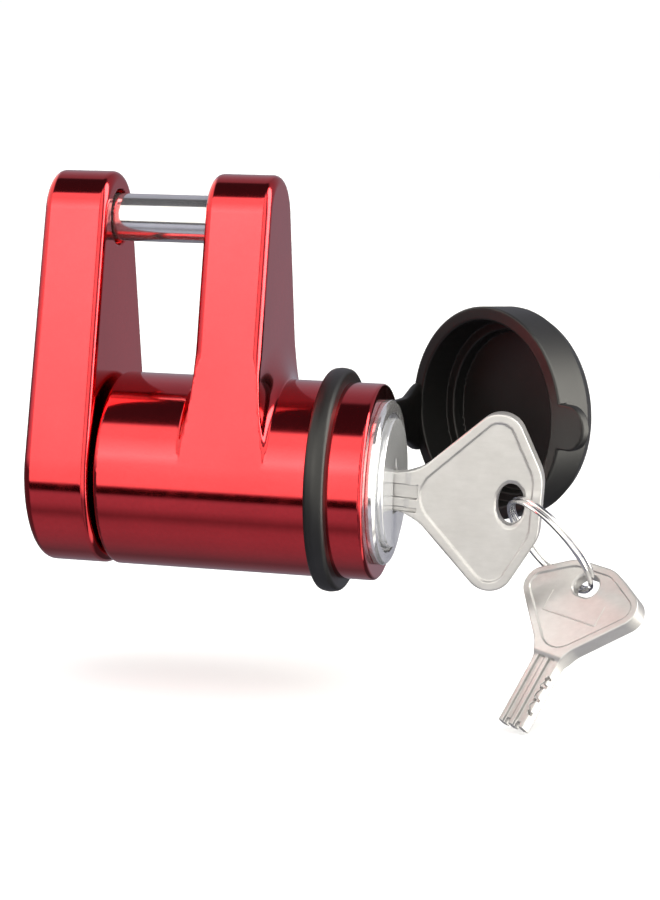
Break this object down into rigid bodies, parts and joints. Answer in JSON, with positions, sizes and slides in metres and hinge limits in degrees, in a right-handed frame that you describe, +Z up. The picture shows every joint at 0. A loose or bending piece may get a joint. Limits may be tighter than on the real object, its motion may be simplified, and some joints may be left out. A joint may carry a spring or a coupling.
{
  "type": "trailer coupler lock",
  "caption": "Keyed lock for a trailer coupler's latch: a shackle pin between a sliding end arm and a fixed lug on a round barrel, with a rubber dust cap and keys on a ring.",
  "frame": {"origin": "centre of the shackle pin's open span, on the pin's axis, midway between the two arms' inner faces", "axes": "+X along the barrel from the end arm towards the key end; +Z up along the arms from the barrel to the pin; +Y to the back, away from the side seen in the picture"},
  "size_m": [0.0816, 0.047, 0.0696],
  "materials": {
    "red_body": "gloss candy red",
    "red_arm": "gloss candy red",
    "chrome_lock": "polished plating",
    "plug_face": "polished plating",
    "chrome_pin": "ground and plated",
    "inner_steel": "machined",
    "spring_steel": "oil blackened",
    "brass": "stamped",
    "seal_rubber": "soft",
    "black_rubber": "satin moulded",
    "key_nickel": "satin nickel plate",
    "ring_steel": "nickel-plated wire"
  },
  "bodies": {
    "body": {"lock_body": "red_body", "cylinder_housing": "chrome_lock", "housing_pin": "inner_steel", "bolt_guides": "inner_steel", "cap_ring": "black_rubber", "cap_strap": "black_rubber"},
    "arm": {"end_arm": "red_arm", "shackle_pin": "chrome_pin", "spindle": "inner_steel", "spindle_seal": "seal_rubber", "arm_roll_pins": "inner_steel"},
    "bolt": {"locking_bolt": "inner_steel"},
    "plug": {"plug": "plug_face", "plug_clip": "spring_steel", "cam": "inner_steel", "wafers": "brass", "wafer_springs": "spring_steel"},
    "key": {"key_1": "key_nickel"},
    "ring": {"key_ring": "ring_steel"},
    "spare_key": {"key_2": "key_nickel"},
    "cap": {"dust_cap": "black_rubber"}
  },
  "joints": [
    {"name": "arm_slide", "type": "slide", "parent": "body", "child": "arm", "axis": [-1, 0, 0], "range_m": [0, 0.022]},
    {"name": "plug_turn", "type": "hinge", "parent": "body", "child": "plug", "pos_m": [0.03005, 0, -0.034], "axis": [1, 0, 0], "range_deg": [-90, 0]},
    {"name": "bolt_slide", "type": "slide", "parent": "body", "child": "bolt", "axis": [0, 0, 1], "range_m": [-0.0024, 0]},
    {"name": "key_slide", "type": "slide", "parent": "plug", "child": "key", "axis": [1, 0, 0], "range_m": [0, 0.014]},
    {"name": "ring_swing", "type": "hinge", "parent": "key", "child": "ring", "pos_m": [0.0476, 0, -0.0355], "axis": [0.3264, -0.8703, 0.3688], "range_deg": [-8, 25]},
    {"name": "key_2_swing", "type": "hinge", "parent": "ring", "child": "spare_key", "pos_m": [0.05804, -0.0007, -0.04639], "axis": [0.3264, -0.8703, 0.3688], "range_deg": [-8, 18]},
    {"name": "cap_hinge", "type": "hinge", "parent": "body", "child": "cap", "pos_m": [0.02765, 0.019, -0.0287], "axis": [0, 0, 1], "range_deg": [0, 60], "stiffness_Nm_per_rad": 0.003}
  ],
  "couplings": [
    {"joint": "plug_turn", "follows": "bolt_slide", "rad_per_m": 654.4}
  ]
}
